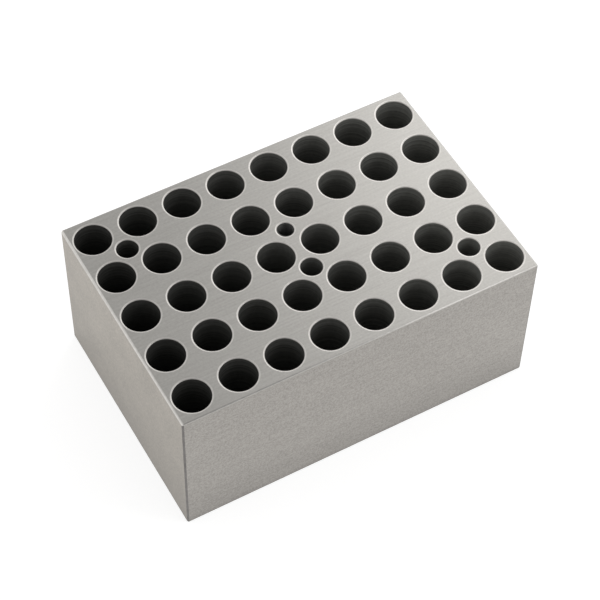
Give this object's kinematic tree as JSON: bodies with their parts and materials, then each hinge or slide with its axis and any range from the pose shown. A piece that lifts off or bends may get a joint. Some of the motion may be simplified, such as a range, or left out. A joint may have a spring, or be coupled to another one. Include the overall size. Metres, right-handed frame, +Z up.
{
  "type": "heat block insert",
  "caption": "Rectangular aluminium insert for a dry block heater, with a grid of blind wells for small tubes, blind probe holes and a tapped lifting hole.",
  "frame": {"origin": "centre of the underside, on the surface that the block stands on", "axes": "+X along the block's length, +Y across it from the front row to the back row, +Z up out of the wells"},
  "size_m": [0.112, 0.075, 0.05],
  "materials": {
    "milled_aluminium": "bare milled aluminium, fine brushed grain along the length, edges and rims broken bright"
  },
  "bodies": {
    "root": {"heat_block": "milled_aluminium"}
  },
  "joints": []
}
